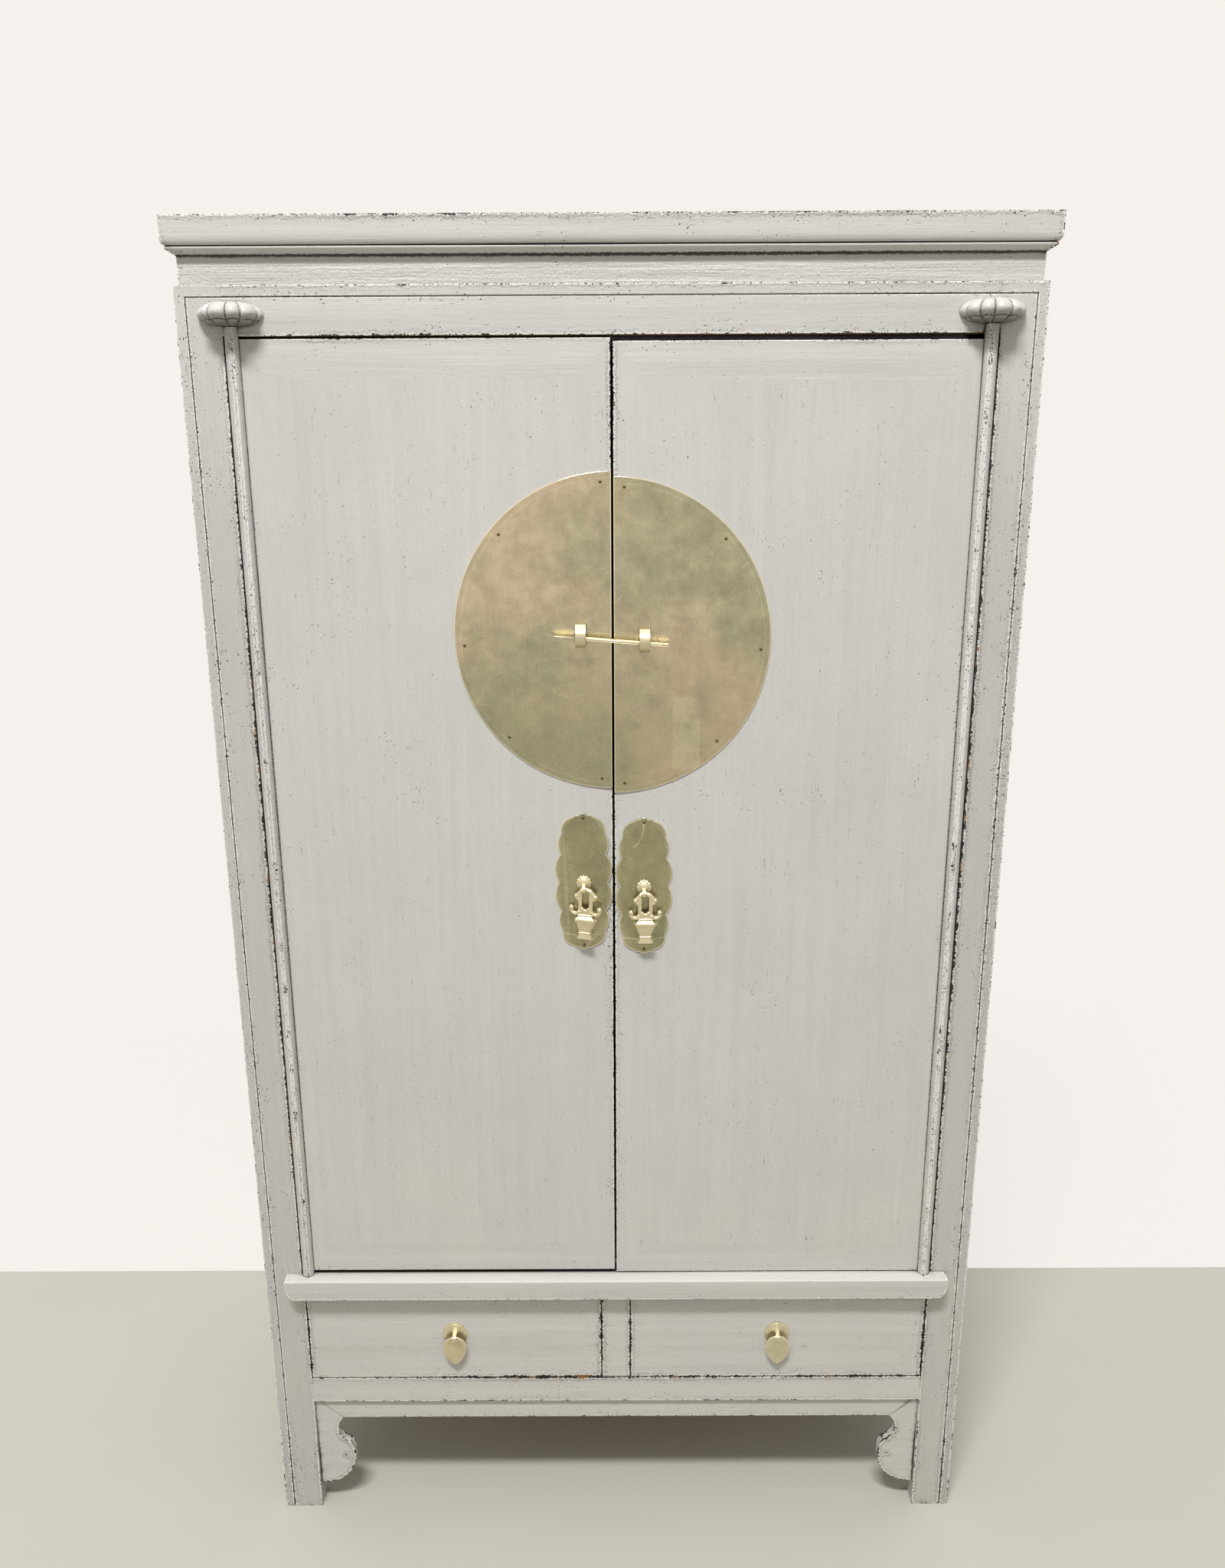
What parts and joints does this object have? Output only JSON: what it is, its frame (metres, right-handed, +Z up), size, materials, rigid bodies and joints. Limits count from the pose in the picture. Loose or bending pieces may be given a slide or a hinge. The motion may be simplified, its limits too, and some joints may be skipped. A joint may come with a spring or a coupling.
{
  "type": "wedding cabinet",
  "caption": "Tall wooden wedding cabinet with doors on round poles, a round brass moon plate with a lock pin, hanging basket pulls, drawers, a moulded cornice and a bracketed apron.",
  "frame": {"origin": "middle of the overall box, on the floor", "axes": "+Z up; -Y towards the doors; +X to the right when facing the doors"},
  "size_m": [1.0672, 0.558, 1.882],
  "materials": {
    "aged_lacquer": "distressed grey lacquer over brown wood, satin",
    "worn_inside": "thin matt lacquer",
    "bare_wood": "unfinished",
    "plate_brass": "dull, aged",
    "cast_brass": "worn bright"
  },
  "bodies": {
    "carcass": {"front_post_left": "aged_lacquer", "front_post_right": "aged_lacquer", "back_post_left": "aged_lacquer", "back_post_right": "aged_lacquer", "front_top_rail": "aged_lacquer", "door_sill_rail": "aged_lacquer", "drawer_rail": "aged_lacquer", "drawer_muntin": "aged_lacquer", "apron": "aged_lacquer", "apron_bracket_left": "aged_lacquer", "apron_bracket_right": "aged_lacquer", "side_rails_left": "aged_lacquer", "side_rails_right": "aged_lacquer", "back_rails": "aged_lacquer", "side_panels_left": "aged_lacquer", "side_panels_right": "aged_lacquer", "back_panels": "worn_inside", "frieze": "aged_lacquer", "cornice": "aged_lacquer", "top_panel": "worn_inside", "lotus_cap_left": "aged_lacquer", "lotus_cap_right": "aged_lacquer", "cupboard_floor": "worn_inside", "shelf": "worn_inside", "shelf_battens": "bare_wood", "drawer_runners": "bare_wood", "drawer_kickers": "bare_wood"},
    "left_door": {"left_door_hinge_stile": "aged_lacquer", "left_door_meeting_stile": "aged_lacquer", "left_door_rails": "aged_lacquer", "left_door_panel": "aged_lacquer", "left_door_battens": "worn_inside", "left_moon_plate": "plate_brass", "left_lock_lug": "cast_brass", "left_pull_plate": "plate_brass", "left_door_nails": "plate_brass", "left_pull_eye": "cast_brass"},
    "left_basket": {"left_basket_pendant": "cast_brass"},
    "right_door": {"right_door_hinge_stile": "aged_lacquer", "right_door_meeting_stile": "aged_lacquer", "right_door_rails": "aged_lacquer", "right_door_panel": "aged_lacquer", "right_door_battens": "worn_inside", "right_moon_plate": "plate_brass", "right_lock_lug": "cast_brass", "right_pull_plate": "plate_brass", "right_door_nails": "plate_brass", "right_pull_eye": "cast_brass"},
    "right_basket": {"right_basket_pendant": "cast_brass"},
    "lock_pin": {"lock_pin": "cast_brass"},
    "left_drawer": {"left_drawer_front": "aged_lacquer", "left_drawer_box": "bare_wood", "left_drawer_bottom": "bare_wood", "left_drawer_rose": "plate_brass"},
    "left_drop": {"left_drawer_drop": "plate_brass"},
    "right_drawer": {"right_drawer_front": "aged_lacquer", "right_drawer_box": "bare_wood", "right_drawer_bottom": "bare_wood", "right_drawer_rose": "plate_brass"},
    "right_drop": {"right_drawer_drop": "plate_brass"}
  },
  "joints": [
    {"name": "left_door_hinge", "type": "hinge", "parent": "carcass", "child": "left_door", "pos_m": [-0.4595, -0.241, 1.085], "axis": [0, 0, -1], "range_deg": [0, 165]},
    {"name": "right_door_hinge", "type": "hinge", "parent": "carcass", "child": "right_door", "pos_m": [0.4595, -0.241, 1.085], "axis": [0, 0, 1], "range_deg": [0, 165]},
    {"name": "lock_pin_slide", "type": "slide", "parent": "left_door", "child": "lock_pin", "axis": [-0.9969, 0, 0.079], "range_m": [0, 0.08]},
    {"name": "left_basket_swing", "type": "hinge", "parent": "left_door", "child": "left_basket", "pos_m": [-0.041, -0.2533, 1.0411], "axis": [-0.9772, 0.2077, 0.0436], "range_deg": [0, 85]},
    {"name": "right_basket_swing", "type": "hinge", "parent": "right_door", "child": "right_basket", "pos_m": [0.041, -0.2533, 1.0346], "axis": [-1, 0, 0], "range_deg": [0, 85]},
    {"name": "left_drawer_slide", "type": "slide", "parent": "carcass", "child": "left_drawer", "axis": [0, -1, 0], "range_m": [0, 0.36]},
    {"name": "right_drawer_slide", "type": "slide", "parent": "carcass", "child": "right_drawer", "axis": [0, -1, 0], "range_m": [0, 0.36]},
    {"name": "left_drop_swing", "type": "hinge", "parent": "left_drawer", "child": "left_drop", "pos_m": [-0.2445, -0.2505, 0.3222], "axis": [-1, 0, 0], "range_deg": [0, 85]},
    {"name": "right_drop_swing", "type": "hinge", "parent": "right_drawer", "child": "right_drop", "pos_m": [0.2445, -0.2505, 0.3222], "axis": [-1, 0, 0], "range_deg": [0, 85]}
  ]
}
